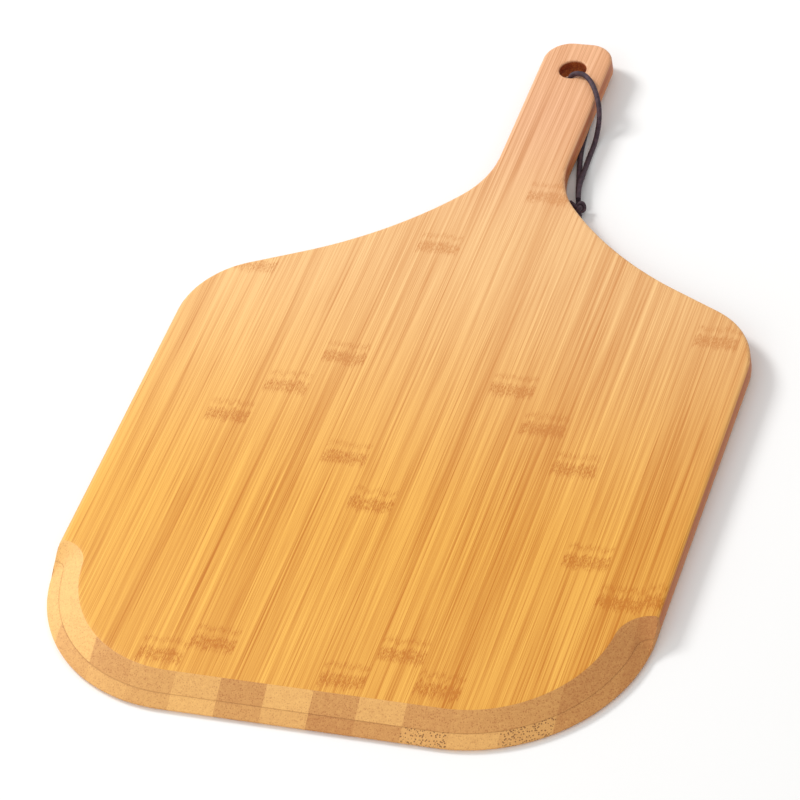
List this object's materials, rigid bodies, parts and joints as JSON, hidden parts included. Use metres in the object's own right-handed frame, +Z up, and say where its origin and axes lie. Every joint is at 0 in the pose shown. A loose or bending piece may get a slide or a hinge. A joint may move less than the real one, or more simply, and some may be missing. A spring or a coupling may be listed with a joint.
{
  "type": "pizza peel",
  "caption": "Flat bamboo pizza peel with a bevelled front edge, a handle with a hanging hole and a leather lace loop.",
  "frame": {"origin": "centre of the peel's bounding box, on the table it lies on", "axes": "+X to the right, +Y from the front edge to the handle, +Z up out of the serving face"},
  "size_m": [0.305, 0.504, 0.0168],
  "materials": {
    "bamboo_honey": "satin oiled bamboo, honey",
    "bamboo_light": "satin oiled bamboo, light",
    "bamboo_tan": "satin oiled bamboo, tan",
    "bamboo_brown": "satin oiled bamboo, brown",
    "dark_leather": "smooth dark leather"
  },
  "bodies": {
    "root": {"upper_stave_01": "bamboo_honey", "upper_stave_02": "bamboo_light", "upper_stave_03": "bamboo_honey", "upper_stave_04": "bamboo_light", "upper_stave_05": "bamboo_honey", "upper_stave_06": "bamboo_light", "upper_stave_07": "bamboo_honey", "upper_stave_08": "bamboo_light", "upper_stave_09": "bamboo_honey", "upper_stave_10": "bamboo_light", "upper_stave_11": "bamboo_honey", "upper_stave_12": "bamboo_light", "upper_stave_13": "bamboo_honey", "upper_stave_14": "bamboo_light", "lower_stave_01": "bamboo_tan", "lower_stave_02": "bamboo_brown", "lower_stave_03": "bamboo_tan", "lower_stave_04": "bamboo_brown", "lower_stave_05": "bamboo_tan", "lower_stave_06": "bamboo_brown", "lower_stave_07": "bamboo_tan", "lower_stave_08": "bamboo_brown", "lower_stave_09": "bamboo_tan", "lower_stave_10": "bamboo_brown", "lower_stave_11": "bamboo_tan", "lower_stave_12": "bamboo_brown", "lower_stave_13": "bamboo_tan", "lower_stave_14": "bamboo_brown", "lace_loop": "dark_leather", "lace_knot": "dark_leather"}
  },
  "joints": []
}
